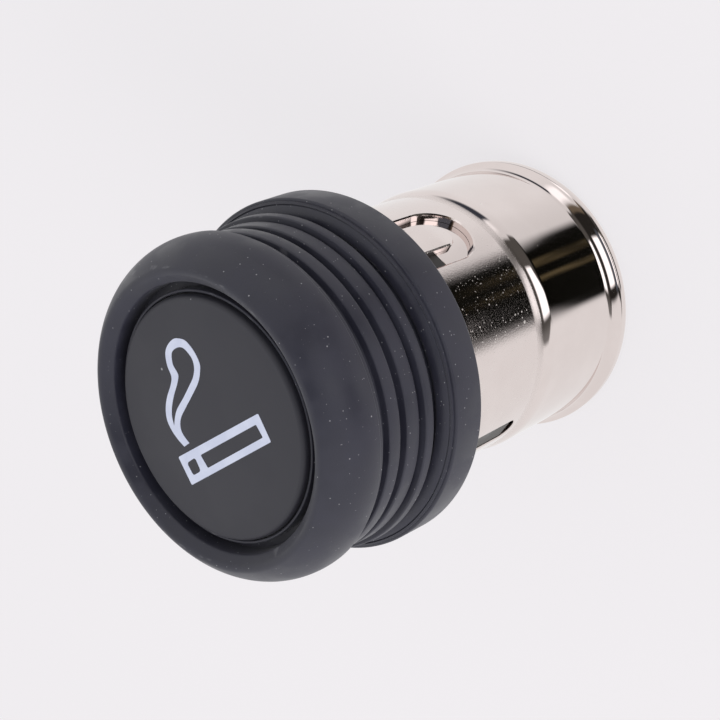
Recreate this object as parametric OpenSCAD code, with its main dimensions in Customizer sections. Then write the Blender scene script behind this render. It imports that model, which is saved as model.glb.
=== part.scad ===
// Pop-out 12 V car lighter: a ribbed push knob on a nickel-plated sleeve.
// It stands on the sleeve's rolled rim with the knob up, so Z is the push axis.

/* [Sleeve] */
// Outer diameter of the barrel between rim and shoulder
barrel_d = 20.1; // [19.8:0.05:20.4]
// How far the curled rim stands out of the barrel, to fill the dashboard socket's bore
rim_out = 0.6; // [0.3:0.05:0.8]
// How far the neck above the shoulder lies inside the barrel
neck_in = 0.28; // [0.2:0.02:0.4]
// Thickness of the sleeve's sheet metal
sheet = 0.5; // [0.4:0.05:0.6]
// Length of the straight barrel between rim and shoulder
barrel_len = 7; // [5:0.1:9]
// Length of the curved shoulder between barrel and neck
shoulder_len = 1.8; // [1:0.1:2.4]
// Part of the shoulder's length taken by the hollow bend next to the neck
shoulder_share = 0.42; // [0.2:0.05:0.8]
// Length of neck that shows between shoulder and knob
neck_show = 10.16; // [9:0.1:12]
// Length of neck hidden inside the knob
neck_hidden = 2.5; // [2:0.1:4]
// Outer radius of the rim's inward curl
rim_roll = 0.8; // [0.65:0.05:1]
// Length of the straight band round the rim
rim_land = 0.3; // [0.2:0.1:0.6]
// Length of the flare from the rim in to the barrel
rim_flare = 1.21; // [0.9:0.01:2]
// Part of the flare's length taken by the hollow bend next to the barrel
flare_share = 0.85; // [0.2:0.05:0.9]
// Width of the flat that the rim stands on
rim_flat = 0.3; // [0.2:0.05:0.5]

/* [Sleeve openings] */
// Width of the opening round each spring tongue
tongue_window_w = 5.14; // [4.6:0.1:5.6]
// Width of each spring tongue
tongue_w = 2.5; // [2:0.1:3]
// Height of the tongue window's round end above the shoulder
tongue_window_lift = 1.3; // [1:0.1:3]
// Gap below the tongue's round tip
tongue_tip_gap = 1.55; // [1:0.05:2]
// Width of the two guide slots
slot_w = 1.9; // [1.5:0.1:2.4]
// Height of the guide slots' round end above the shoulder
slot_lift = 0.3; // [0.1:0.1:1]

/* [Knob] */
// Wall of the knob at the bottom of its grooves
grip_wall = 0.55; // [0.4:0.05:0.8]
// How far the flange stands out of the grooves
flange_out = 1.82; // [1.5:0.02:2.2]
// Thickness of the flange at its edge
flange_t = 2.6; // [2:0.1:3.5]
// Radius of the rounded nose in section
nose_roll_r = 3.93; // [3.6:0.05:4.2]
// How far the rounded nose stands out of the grooves
nose_out = 1.01; // [0.8:0.01:1.2]
// Height of the nose's crest in front of the cap
nose_proud = 1.37; // [1:0.05:1.8]
// Width of the nose's ring round the flat cap
nose_w = 3.5; // [3.2:0.05:3.9]
// Width of the dark groove round the cap
cap_groove = 0.34; // [0.2:0.02:0.6]
// Thickness of the cap's face
cap_t = 1; // [0.8:0.1:1.2]
// How far the three ribs stand out of the grooves, from the nose to the flange
rib_outs = [0.625, 0.7, 1.05];
// Heights of the three ribs, scaled with the grooves to fill their zone
rib_heights = [1, 1.15, 0.71];
// Heights of the four grooves before, between and after the ribs
groove_heights = [0.82, 0.6, 0.29, 0.9];
// Thickness of the web that the cap sits on
web_t = 1; // [0.8:0.1:1.4]

/* [Hub] */
// Thickness of the hub's top plate
hub_plate_t = 1.5; // [1:0.1:2]
// Wall of the hub's sliding skirt
skirt_t = 0.9; // [0.7:0.05:1.1]
// Length of the skirt below the plate
skirt_len = 12.7; // [10:0.1:13]
// Diameter of the hub's centre boss
boss_d = 6.8; // [6.4:0.1:7.6]
// Length of the centre boss below the plate
boss_len = 6.9; // [5:0.1:8]
// Width of the keys that stop the knob from turning
key_w = 1.5; // [1.2:0.1:1.8]
// Height of the keys above the skirt
key_h = 0.4; // [0.3:0.05:0.5]
// Length of the keys
key_len = 7; // [5:0.5:9]

/* [Travel and spring] */
// How far the knob can be pushed in
travel = 4; // [3:0.1:4.3]
// Wire diameter of the return spring
wire_d = 0.9; // [0.7:0.05:1]
// Radial gap between the return spring and the hub's skirt
spring_gap = 0.57; // [0.3:0.01:0.9]
// Turns of the return spring
spring_turns = 7; // [6:0.5:8]

/* [Cup and bush] */
// Thickness of the drawn spring cup
cup_t = 0.4; // [0.3:0.05:0.5]
// Height of the spring cup
cup_h = 6.3; // [5:0.1:7]
// Height of the cup's floor above the bottom of the shoulder
cup_lift = 0.9; // [0.4:0.1:1.4]
// Length of the drawn collar in the cup's floor
collar_len = 1.6; // [1:0.1:2]
// Wall of the guide bush
bush_t = 0.95; // [0.8:0.05:1.2]
// Length of the guide bush above the cup
bush_len = 6.8; // [5:0.1:7]
// Length of the bush's two legs below the cup's rim
leg_len = 4.4; // [3:0.1:5]
// How far the snap nibs stand out of the sleeve
nib_proud = 0.15; // [0.05:0.05:0.3]

/* [Heater] */
// Radial gap between the sleeve and the heater cup
heater_gap = 2.25; // [1.9:0.05:2.8]
// Wall of the heater cup
heater_wall = 0.4; // [0.3:0.05:0.5]
// Depth of the heater cup
heater_depth = 3.75; // [3.4:0.05:4.5]
// Height of the coil's ribbon
ribbon_h = 1.3; // [1:0.1:1.6]
// Thickness of the coil's ribbon
ribbon_t = 0.35; // [0.25:0.05:0.4]
// Turns of the heating coil
coil_turns = 6; // [5:1:7]
// Diameter of the centre stud
stud_d = 3.5; // [3:0.1:4]
// Wall of the spacer tube round the stud
spacer_t = 0.9; // [0.7:0.05:1.1]
// Thickness of the stop washer
stop_t = 0.6; // [0.4:0.05:0.8]
// Thickness of each mica washer
mica_t = 0.25; // [0.15:0.05:0.3]
// Thickness of the ceramic insulator's flange
ceramic_t = 0.9; // [0.7:0.05:1.2]

/* [Clearances] */
// Radial gap between the neck and the knob's bore
bore_gap = 0.18; // [0.1:0.02:0.4]
// Radial gap of the sliding fits
slide_gap = 0.08; // [0.04:0.01:0.12]
// Radial gap of pieces that are pressed together
press_gap = 0.02; // [0.01:0.01:0.04]
// Gap left at the end of the travel
end_gap = 0.35; // [0.2:0.05:0.6]

/* [Hidden] */
$fn = 96;
// Small overlap that makes a cut run clear of the surface that it opens
clear = 0.5;
// Straight pieces in each arc of an S-curve
curve_steps = 10;

// Directions round the axis, in degrees
tongue_angle = -54.75;
slot_angle = -155;
key_angle = 115;
half_turns = [0, 180];

// Sleeve, from the rim up
barrel_r = barrel_d / 2;
barrel_in_r = barrel_r - sheet;
rim_r = barrel_r + rim_out;
neck_r = barrel_r - neck_in;
neck_in_r = neck_r - sheet;
roll_z = sqrt(rim_roll * rim_roll - rim_flat * rim_flat / 4);
curl_turn = 200;
land_top = roll_z + rim_land;
barrel_z = land_top + rim_flare;
shoulder_z = barrel_z + barrel_len;
neck_z = shoulder_z + shoulder_len;
flange_z = neck_z + neck_show;
neck_top = flange_z + neck_hidden;
window_hidden = 0.6;

// Knob, from the flange up
plate_z = neck_top + travel + end_gap;
web_z = plate_z + hub_plate_t;
web_top = web_z + web_t;
lock_washer_t = 0.3;
nut_h = 1.2;
nut_gap = 0.2;
cap_under = web_top + lock_washer_t + nut_h + nut_gap;
face_z = cap_under + cap_t;
bore_r = neck_r + bore_gap;
groove_r = bore_r + grip_wall;
flange_r = groove_r + flange_out;
flange_top = flange_z + flange_t;
nose_r = groove_r + nose_out;
nose_centre_r = nose_r - nose_roll_r;
nose_centre_z = face_z + nose_proud - nose_roll_r;
crease_drop = 0.47;
nose_back_z = nose_centre_z - crease_drop;
land_in = 0.28;
land_r = nose_r - land_in;
land_t = 0.5;
cap_r = nose_r - nose_w;
recess_r = cap_r + cap_groove;
lip_r = 0.7;
dome_h = 0.44;
cap_seat_h = 1.2;
cap_wall = 1.2;
cap_bevel = 0.11;

// Cup and bush, seated in the neck
cup_r = neck_in_r - press_gap;
cup_corner = 0.8;
cup_z = shoulder_z + cup_lift;
cup_floor_top = cup_z + cup_t;
cup_rim = cup_z + cup_h;
fibre_t = 0.3;
bush_r = neck_in_r - press_gap;
bush_in_r = bush_r - bush_t;
bush_top = cup_rim + bush_len;
leg_gap = 0.1;
leg_w = slot_w - 2 * leg_gap;
skirt_r = bush_in_r - slide_gap;
skirt_in_r = skirt_r - skirt_t;
skirt_z = plate_z - skirt_len;
boss_z = plate_z - boss_len;

// Stack on the centre stud, from the cup's floor down
stud_r = stud_d / 2;
spacer_r = stud_r + spacer_t;
collar_r = spacer_r + slide_gap;
insert_r = spacer_r;
stop_z = cup_z - stop_t;
upper_mica_z = stop_z - mica_t;
heater_r = barrel_in_r - heater_gap;
heater_floor_z = upper_mica_z - heater_wall;
heater_rim_z = heater_floor_z + heater_wall - heater_depth;
lower_mica_z = heater_floor_z - mica_t;
ceramic_z = lower_mica_z - ceramic_t;
clamp_t = 0.3;
clamp_z = ceramic_z - clamp_t;
clamp_over = 1.7;
clamp_r = stud_r + clamp_over;
head_t = 0.4;
head_z = clamp_z - head_t;
head_over = 0.6;
head_r = stud_r + head_over;
pin_r = 0.9;
coil_gap = 0.15;
heater_in_r = heater_r - heater_wall;
heater_corner = 0.6;
lip_out = 0.25;
lip_h = 0.35;
ceramic_neck = 1.35;
neck_hole_r = stud_r + ceramic_neck;
mica_gap = 0.45;
mica_r = heater_in_r - mica_gap;
stop_gap = 1.38;
stop_r = heater_in_r - stop_gap;
ceramic_gap = 1.4;
ceramic_r = heater_in_r - ceramic_gap;
coil_z = head_z - coil_gap - ribbon_h;
nut_flats = 7;
lock_washer_r = 3.9;
lock_washer_split = 0.4;
seat_t = 0.4;
seat_z = plate_z - seat_t;
spring_low = cup_floor_top + fibre_t;
spring_r = skirt_in_r - spring_gap - wire_d / 2;

// Points of an arc round [r, z], from one angle to another
function arc(r, z, radius, from, to, steps) =
    [for (i = [0:steps]) let (a = from + (to - from) * i / steps)
        [r + radius * cos(a), z + radius * sin(a)]];

// S-curve going up from an outer radius in to a smaller one, by two arcs
// The share is the upper arc's part of the length
function s_curve(out_r, in_r, low, high, share) =
    let (turn = 2 * atan((out_r - in_r) / (high - low)), chord = (high - low) / sin(turn),
         out_bend = chord * (1 - share), in_bend = chord * share)
    concat(
        arc(out_r - out_bend, low, out_bend, 0, turn, curve_steps),
        arc(in_r + in_bend, high, in_bend, 180 + turn, 180, curve_steps));

function reversed(points) = [for (i = [len(points) - 1:-1:0]) points[i]];

// Ring between two radii, standing on z
module ring(z, h, outer, inner) {
    translate([0, 0, z])
        difference() {
            cylinder(h = h, r = outer);
            translate([0, 0, -clear]) cylinder(h = h + 2 * clear, r = inner);
        }
}

// Upright slot outline with a round lower end, in the XY plane
module slot_outline(w, low, high) {
    translate([-w / 2, low + w / 2]) square([w, high - low - w / 2]);
    translate([0, low + w / 2]) circle(d = w);
}

// Runs its 2D outline outwards through one side of the wall
module through_wall(angle, from = neck_in_r - 2 * clear, to = neck_r + 2 * clear) {
    rotate([0, 0, angle])
        translate([from, 0, 0])
            rotate([90, 0, 90]) linear_extrude(height = to - from) children();
}

// Section of the sheet: curled rim, flare, barrel, shoulder and neck, flattened where the part stands
module sleeve_profile() {
    curl_r = rim_r - rim_roll;
    intersection() {
        polygon(concat(
            s_curve(rim_r, barrel_r, land_top, barrel_z, flare_share),
            s_curve(barrel_r, neck_r, shoulder_z, neck_z, shoulder_share),
            [[neck_r, neck_top], [neck_in_r, neck_top]],
            reversed(s_curve(barrel_in_r, neck_in_r, shoulder_z, neck_z, shoulder_share)),
            reversed(s_curve(rim_r - sheet, barrel_in_r, land_top, barrel_z, flare_share)),
            arc(curl_r, roll_z, rim_roll - sheet, 0, -curl_turn, 2 * curve_steps),
            arc(curl_r, roll_z, rim_roll, -curl_turn, 0, 3 * curve_steps)));
        square([rim_r + clear, neck_top + clear]);
    }
}

module outer_sleeve() color("silver")
    difference() {
        rotate_extrude() sleeve_profile();
        for (half = half_turns) {
            through_wall(tongue_angle + half)
                difference() {
                    slot_outline(tongue_window_w, neck_z + tongue_window_lift, flange_z + window_hidden);
                    slot_outline(tongue_w, neck_z + tongue_window_lift + tongue_tip_gap, neck_top);
                }
            through_wall(slot_angle + half)
                slot_outline(slot_w, neck_z + slot_lift, neck_top + clear);
        }
    }

// Drawn cup that takes the spring, with a collar pulled up round its hole
module spring_cup() color("gainsboro")
    rotate_extrude()
        difference() {
            union() {
                difference() {
                    translate([0, cup_z]) drawn_corner(cup_r, cup_h, cup_corner);
                    translate([0, cup_floor_top]) square([cup_r - cup_t, cup_h]);
                }
                translate([0, cup_z]) square([collar_r + cup_t, collar_len]);
            }
            translate([-clear, cup_z - clear]) square([collar_r + clear, cup_h]);
        }

// Half section of a solid with a rounded lower edge
module drawn_corner(r, h, corner) {
    translate([0, corner]) square([r, h - corner]);
    square([r - corner, corner]);
    translate([r - corner, corner]) circle(r = corner);
}

// Black moulded bush that guides the hub, with two legs in the sleeve's slots
module guide_bush() color("#2b2b2d")
    difference() {
        union() {
            ring(cup_rim, bush_len, bush_r, bush_in_r);
            for (half = half_turns) rotate([0, 0, slot_angle + half]) bush_leg();
        }
        for (half = half_turns) rotate([0, 0, key_angle + half])
            translate([bush_in_r - clear, -key_w / 2 - slide_gap, cup_rim - clear])
                cube([clear + key_h, key_w + 2 * slide_gap, bush_len + 2 * clear]);
    }

module bush_leg() {
    leg_in_r = cup_r + press_gap;
    face_r = neck_r - slide_gap;
    nib_h = 1.4;
    nib_edge = 0.3;
    translate([leg_in_r, -leg_w / 2, cup_rim - leg_len])
        cube([face_r - leg_in_r, leg_w, leg_len]);
    translate([bush_r - bush_t / 2, -leg_w / 2, cup_rim])
        cube([face_r - bush_r + bush_t / 2, leg_w, bush_len]);
    translate([leg_in_r, leg_w / 2, cup_rim - leg_len])
        rotate([90, 0, 0]) linear_extrude(height = leg_w)
            polygon([
                [0, 0], [neck_r - leg_in_r, 0], [neck_r + nib_proud - leg_in_r, nib_edge],
                [neck_r + nib_proud - leg_in_r, nib_h / 2], [face_r - leg_in_r, nib_h], [0, nib_h]
            ]);
}

module fibre_washer() color("#7a4a2c")
    ring(cup_floor_top, fibre_t, cup_r - cup_corner, collar_r + cup_t + slide_gap);

// Return spring: the end turns lie close, the others share the height
function spring_rise(turn) =
    let (close = 0.75, low = wire_d * min(turn, close), high = wire_d * max(0, turn - spring_turns + close),
         free = seat_z - spring_low - wire_d - 2 * close * wire_d,
         share = min(max((turn - close) / (spring_turns - 2 * close), 0), 1))
    low + high + free * share;

module pop_spring() color("dimgray") {
    sides = 6;
    steps = 16;
    rings = spring_turns * steps;
    points = [for (i = [0:rings], k = [0:sides - 1])
        let (turn = i / steps, a = 360 * turn, b = 360 * k / sides,
             r = spring_r + wire_d / 2 * cos(b))
        [r * cos(a), r * sin(a), spring_low + wire_d / 2 + spring_rise(turn) + wire_d / 2 * sin(b)]];
    walls = [for (i = [0:rings - 1], k = [0:sides - 1])
        let (next = (k + 1) % sides)
        [i * sides + k, i * sides + next, (i + 1) * sides + next, (i + 1) * sides + k]];
    ends = [[for (k = [0:sides - 1]) sides - 1 - k], [for (k = [0:sides - 1]) rings * sides + k]];
    polyhedron(points = points, faces = concat(walls, ends), convexity = 6);
}

// Ribs and grooves fill the length between the nose's back edge and the flange
function total(values, count) = count == 0 ? 0 : values[count - 1] + total(values, count - 1);
rib_count = len(rib_outs);
rib_zone_top = nose_back_z - land_t;
rib_zone_low = flange_top + dome_h;
rib_sum = total(rib_heights, rib_count) + total(groove_heights, rib_count + 1);
rib_scale = (rib_zone_top - rib_zone_low) / rib_sum;
function rib_top(k) = rib_zone_top - rib_scale * (total(groove_heights, k + 1) + total(rib_heights, k));

// One rib, going up: a flat crest that widens a little towards the flange
function rib_points(top, h, r, edge = 0.08, step = 0.06) = [
    [groove_r, top - h], [r - edge, top - h], [r, top - h + edge],
    [r - step, top - edge], [r - step - edge, top], [groove_r, top]
];

// Flange with a shallow domed front, and a fine step near its edge
function flange_points(edge = 0.1, taper = 0.06, step_h = 0.08, step_in = 0.28, dome_in = 0.35) =
    let (step_r = flange_r - step_in, dome_low = groove_r + dome_in, dome_foot = rib_zone_low - dome_h / 2) [
        [0, flange_z], [flange_r - 2 * edge, flange_z], [flange_r, flange_z + 2 * edge],
        [flange_r - taper, flange_top - edge], [flange_r - taper - edge, flange_top],
        [step_r + edge / 2, flange_top], [step_r, flange_top + step_h],
        [step_r - 2 * edge, flange_top + 2 * step_h], [step_r - 5 * edge, flange_top + 0.7 * dome_h],
        [dome_low + 2 * edge, rib_zone_low], [dome_low + edge / 2, rib_zone_low - edge / 2],
        [dome_low, dome_foot], [groove_r, dome_foot]
    ];

module grip_outline() {
    polygon(concat(
        flange_points(),
        [for (k = [rib_count - 1:-1:0])
            for (p = rib_points(rib_top(k), rib_scale * rib_heights[k], groove_r + rib_outs[k])) p],
        [[groove_r, rib_zone_top], [land_r, rib_zone_top], [land_r, nose_centre_z], [0, nose_centre_z]]));
    // Rounded nose, with the small edge at its back
    intersection() {
        translate([nose_centre_r, nose_centre_z]) circle(r = nose_roll_r);
        translate([0, nose_back_z]) square([nose_r + clear, 2 * nose_roll_r]);
    }
    translate([0, nose_centre_z]) square([nose_centre_r, nose_roll_r]);
}

// Soft-touch knob ring: nose, ribs, flange, and the web that carries the cap
module knob_grip() color("#3f4044")
    rotate_extrude()
        difference() {
            grip_outline();
            // Bore that slides over the neck and takes the hub's plate
            translate([-clear, flange_z - clear]) square([bore_r + clear, web_z - flange_z + clear]);
            // Recess of the cap, wider above the seat
            translate([-clear, web_top]) square([cap_r + press_gap + clear, face_z + nose_roll_r - web_top]);
            translate([0, web_top + cap_seat_h]) square([recess_r, nose_roll_r * 2]);
            recess_lip();
            // Hole of the stud
            translate([-clear, web_z - clear]) square([stud_r + press_gap + clear, web_t + 2 * clear]);
        }

// Rounds the nose into the recess with an arc that touches both
module recess_lip() {
    reach = nose_roll_r - lip_r;
    run = recess_r + lip_r - nose_centre_r;
    rise = sqrt(reach * reach - run * run);
    centre = [nose_centre_r + run, nose_centre_z + rise];
    meet = [nose_centre_r + run * nose_roll_r / reach, nose_centre_z + rise * nose_roll_r / reach];
    difference() {
        polygon([[recess_r - clear, centre[1]], centre, meet, [recess_r - clear, meet[1] + 2 * clear]]);
        translate(centre) circle(r = lip_r);
    }
}

// Flat cap with a hollow back and a fine bevel round its face
module knob_cap() color("#46474b")
    rotate_extrude()
        difference() {
            polygon([
                [0, web_top], [cap_r, web_top], [cap_r, face_z - cap_bevel],
                [cap_r - cap_bevel, face_z], [0, face_z]
            ]);
            translate([-clear, web_top - clear])
                square([cap_r - cap_wall + clear, cap_under - web_top + clear]);
        }

// Heat-proof hub: plate, sliding skirt with two keys, and centre boss
module knob_hub() color("#242426")
    difference() {
        union() {
            cylinder_at(plate_z, hub_plate_t, bore_r - press_gap);
            ring(skirt_z, skirt_len, skirt_r, skirt_in_r);
            cylinder_at(boss_z, boss_len, boss_d / 2);
            for (half = half_turns) rotate([0, 0, key_angle + half])
                translate([skirt_r - skirt_t / 2, -key_w / 2, plate_z - end_gap - travel - key_len])
                    cube([skirt_t / 2 + key_h - slide_gap, key_w, key_len]);
        }
        cylinder_at(boss_z - clear, boss_len + hub_plate_t + 2 * clear, insert_r + press_gap);
    }

module cylinder_at(z, h, r) translate([0, 0, z]) cylinder(h = h, r = r);

module hub_insert() color("goldenrod")
    ring(boss_z, boss_len + hub_plate_t, insert_r, stud_r + press_gap);

// Stud with a peened head below and the pin that holds the coil's inner end
module stud() color("lightsteelblue") {
    top = web_top + lock_washer_t + nut_h + nut_gap / 2;
    cylinder_at(clamp_z, top - clamp_z, stud_r);
    cylinder_at(head_z, head_t, head_r);
    cylinder_at(coil_z, head_z - coil_z, pin_r);
}

module spacer_tube() color("lightslategray")
    ring(cup_z, boss_z - cup_z, spacer_r, stud_r + press_gap);

module hub_nut() color("slategray")
    difference() {
        cylinder_nut(web_top + lock_washer_t, nut_h, nut_flats);
        cylinder_at(web_top, lock_washer_t + nut_h + clear, stud_r + press_gap);
    }

// Hexagon with the given width across its flats
module cylinder_nut(z, h, flats)
    translate([0, 0, z]) cylinder(h = h, r = flats / 2 / cos(30), $fn = 6);

module lock_washer() color("gray")
    difference() {
        ring(web_top, lock_washer_t, lock_washer_r, stud_r + press_gap);
        // Split of the spring washer
        translate([stud_r - clear, -lock_washer_split / 2, web_top - clear])
            cube([lock_washer_r, lock_washer_split, lock_washer_t + 2 * clear]);
    }

module spring_seat() color("silver")
    ring(seat_z, seat_t, skirt_in_r - slide_gap, boss_d / 2 + slide_gap);

module stop_washer() color("lightslategray")
    ring(stop_z, stop_t, stop_r, stud_r + press_gap);

module upper_mica() color("tan")
    ring(upper_mica_z, mica_t, mica_r, neck_hole_r);

// Pressed cup round the coil, with a lip turned out at its mouth
module heater_cup() color("darkgray")
    rotate_extrude()
        difference() {
            union() {
                translate([0, heater_rim_z + heater_depth]) mirror([0, 1])
                    drawn_corner(heater_r, heater_depth, heater_corner);
                translate([0, heater_rim_z]) square([heater_r + lip_out, lip_h]);
            }
            translate([-clear, heater_rim_z - clear])
                square([heater_in_r + clear, heater_depth - heater_wall + clear]);
            translate([-clear, heater_rim_z]) square([neck_hole_r + clear, heater_depth + clear]);
        }

module lower_mica() color("tan")
    ring(lower_mica_z, mica_t, mica_r, neck_hole_r);

// Ceramic ring whose neck keeps the cup clear of the stud
module ceramic_insulator() color("ivory")
    difference() {
        union() {
            cylinder_at(ceramic_z, ceramic_t, ceramic_r);
            cylinder_at(ceramic_z, stop_z - ceramic_z, neck_hole_r - press_gap);
        }
        cylinder_at(ceramic_z - clear, stop_z - ceramic_z + 2 * clear, stud_r + press_gap);
    }

module clamp_washer() color("lightslategray")
    ring(clamp_z, clamp_t, clamp_r, stud_r + press_gap);

// Flat ribbon wound to a spiral, from the pin out to the cup's wall
coil_steps = 24;
coil_points = coil_turns * coil_steps;
coil_in_r = pin_r + ribbon_t / 2;
coil_out_r = heater_in_r - ribbon_t / 2;
function spiral(i, side) =
    let (a = 360 * i / coil_steps,
         r = coil_in_r + (coil_out_r - coil_in_r) * i / coil_points + side * ribbon_t / 2)
    [r * cos(a), r * sin(a)];

module heating_coil() color("#8a7f78")
    translate([0, 0, coil_z])
        linear_extrude(height = ribbon_h)
            polygon(concat(
                [for (i = [0:coil_points]) spiral(i, -1)],
                [for (i = [0:coil_points]) spiral(coil_points - i, 1)]));

outer_sleeve();
spring_cup();
guide_bush();
fibre_washer();
pop_spring();
knob_grip();
knob_cap();
knob_hub();
hub_insert();
stud();
spacer_tube();
hub_nut();
lock_washer();
spring_seat();
stop_washer();
upper_mica();
heater_cup();
lower_mica();
ceramic_insulator();
clamp_washer();
heating_coil();
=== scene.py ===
import math

import bmesh
import bpy
import numpy as np
from mathutils import Matrix, Vector


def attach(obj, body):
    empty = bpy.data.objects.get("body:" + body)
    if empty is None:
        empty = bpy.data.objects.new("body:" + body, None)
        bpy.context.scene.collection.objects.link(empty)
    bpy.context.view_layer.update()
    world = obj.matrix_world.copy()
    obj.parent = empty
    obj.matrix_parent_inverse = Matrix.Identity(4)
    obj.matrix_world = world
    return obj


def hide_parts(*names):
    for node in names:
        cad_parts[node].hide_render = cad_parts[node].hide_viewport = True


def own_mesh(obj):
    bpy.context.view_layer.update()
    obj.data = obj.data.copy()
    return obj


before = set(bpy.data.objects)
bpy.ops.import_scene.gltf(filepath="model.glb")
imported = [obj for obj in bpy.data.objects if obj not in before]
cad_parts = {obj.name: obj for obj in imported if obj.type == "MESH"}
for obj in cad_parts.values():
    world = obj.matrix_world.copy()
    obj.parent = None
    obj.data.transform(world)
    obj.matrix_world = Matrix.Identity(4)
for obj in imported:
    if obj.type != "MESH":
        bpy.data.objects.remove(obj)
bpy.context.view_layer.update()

MM = 0.001

# Sizes in millimetres. The edge of the cap and the recess round it were measured again for the looks, and the
# rest is as in the part's source
BARREL_R, RIM_R, NECK_R, SHEET = 10.05, 10.65, 9.77, 0.5
RIM_ROLL, RIM_FLAT, CURL_TURN = 0.8, 0.3, 200
ROLL_Z = math.sqrt(RIM_ROLL ** 2 - RIM_FLAT ** 2 / 4)
LAND_TOP = ROLL_Z + 0.3
BARREL_Z = LAND_TOP + 1.21
SHOULDER_Z = BARREL_Z + 7
NECK_Z = SHOULDER_Z + 1.8
FLARE_SHARE, SHOULDER_SHARE = 0.85, 0.42
FLANGE_Z = NECK_Z + 10.16
FLANGE_TOP, NECK_TOP = FLANGE_Z + 2.6, FLANGE_Z + 2.5
WEB_Z = NECK_TOP + 5.85
WEB_TOP, CAP_UNDER, FACE_Z = WEB_Z + 1, WEB_Z + 2.7, WEB_Z + 3.7
BORE_R, GROOVE_R, FLANGE_R = 9.95, 10.5, 12.32
NOSE_CENTRE, NOSE_ROLL = (7.58, FACE_Z - 2.56), 3.93
NOSE_BACK = NOSE_CENTRE[1] - 0.47
RIB_ZONE_TOP, RIB_ZONE_LOW, LAND_R = NOSE_BACK - 0.5, FLANGE_TOP + 0.44, 11.23
CAP_R, CAP_WALL, CAP_CORNER, STUD_R, FIT = 8.08, 1.2, 0.35, 1.75, 0.02
# The recess round the cap: its wall, the lip's and foot's rounding, and where the roll meets the lip
RECESS_R, LIP_R, FOOT_R, LIP_MEET = 8.93, 0.45, 0.3, 51.93
RIDGE_OUT, RIDGE_IN = CAP_R + 0.29, CAP_R + 0.09
RIDGE_TOP, SLIT_FLOOR, RECESS_FLOOR = FACE_Z - 0.4, FACE_Z - 0.9, FACE_Z - 1.3
# Each rib's drop from the top of the rib zone, its height and its radius
RIBS = (0.822, 1.002, 11.125), (2.425, 1.152, 11.2), (3.868, 0.711, 11.55)
DRAFT = 0.06
# Tongues and slots: their middles in degrees, then the tongue's half width, its tip, root, bend and lean
TONGUE_ANGLE, SLOT_ANGLE = -54.75, -155
TONGUE_HALF, TONGUE_TIP, TONGUE_ROOT, TONGUE_EASE, TONGUE_LEAN = 1.45, 13.7, 15.8, 0.8, 9
# How far the window cutters go in and out from the neck's surface, and the bright bevels that they leave
CUT_DEPTH, CUT_REACH, TONGUE_BEVEL, SLOT_BEVEL = 1.3, 0.35, 0.09, 0.08
SPRING_LOW, SPRING_TOP = SHOULDER_Z + 1.6, WEB_Z - 1.9
SPRING_R, WIRE_R, SPRING_TURNS = 6.3, 0.45, 7
COIL_Z, RIBBON_H, RIBBON_T = SHOULDER_Z - 3.65, 1.3, 0.35
COIL_IN, COIL_OUT, COIL_TURNS = 1.075, 6.725, 6
CUP_SHEET, CUP_CORNER, CUP_HEIGHT, COLLAR_R, COLLAR_HEIGHT = 0.4, 0.8, 6.3, 2.73, 1.6
BUSH_FACE_R = NECK_R - 0.12
PRINT_HEIGHT = 0.02

# The camera as matched to the photo: its place in metres and its axes
CAMERA_PLACE = (-0.0002185, -0.06869, 0.0885)
CAMERA_AXES = (-0.3922, 0.9199, 0.0), (-0.6552, -0.2794, -0.7019), (-0.6457, -0.2753, 0.7123)
LENS, SENSOR = 70, 36


def piece_from(bm, name, body, sharp=35):
    """Closes a bmesh into a smooth-shaded piece that rides on its body."""
    bmesh.ops.remove_doubles(bm, verts=bm.verts, dist=1e-7)
    bmesh.ops.dissolve_degenerate(bm, edges=bm.edges, dist=1e-8)
    bmesh.ops.recalc_face_normals(bm, faces=bm.faces)
    for face in bm.faces:
        face.smooth = True
    for edge in bm.edges:
        edge.smooth = len(edge.link_faces) == 2 and edge.calc_face_angle() < math.radians(sharp)
    mesh = bpy.data.meshes.new(name)
    bm.to_mesh(mesh)
    bm.free()
    piece = bpy.data.objects.new(name, mesh)
    bpy.context.scene.collection.objects.link(piece)
    if body:
        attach(piece, body)
    return piece


def bend(r, z, radius, start, end, steps):
    """Points of an arc round (r, z), in degrees."""
    angles = np.radians(np.linspace(start, end, steps + 1))
    return [(r + radius * math.cos(a), z + radius * math.sin(a)) for a in angles]


def s_bend(out_r, in_r, low, high, share, steps=20):
    """The two arcs of a drawn shoulder, going up from out_r to in_r."""
    turn = 2 * math.degrees(math.atan((out_r - in_r) / (high - low)))
    chord = (high - low) / math.sin(math.radians(turn))
    outer, inner = chord * (1 - share), chord * share
    return (bend(out_r - outer, low, outer, 0, turn, steps)
            + bend(in_r + inner, high, inner, 180 + turn, 180, steps)[1:])


def turned(outline, steps=256, closed=True):
    """Turns an outline of (radius, height) points round the axis."""
    bm = bmesh.new()
    verts = [bm.verts.new((r * MM, 0, z * MM)) for r, z in outline]
    ends = list(zip(verts, verts[1:])) + ([(verts[-1], verts[0])] if closed else [])
    edges = [bm.edges.new(pair) for pair in ends]
    bmesh.ops.spin(bm, geom=verts + edges, cent=(0, 0, 0), axis=(0, 0, 1),
                   angle=math.tau, steps=steps, use_merge=True)
    return bm


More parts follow.
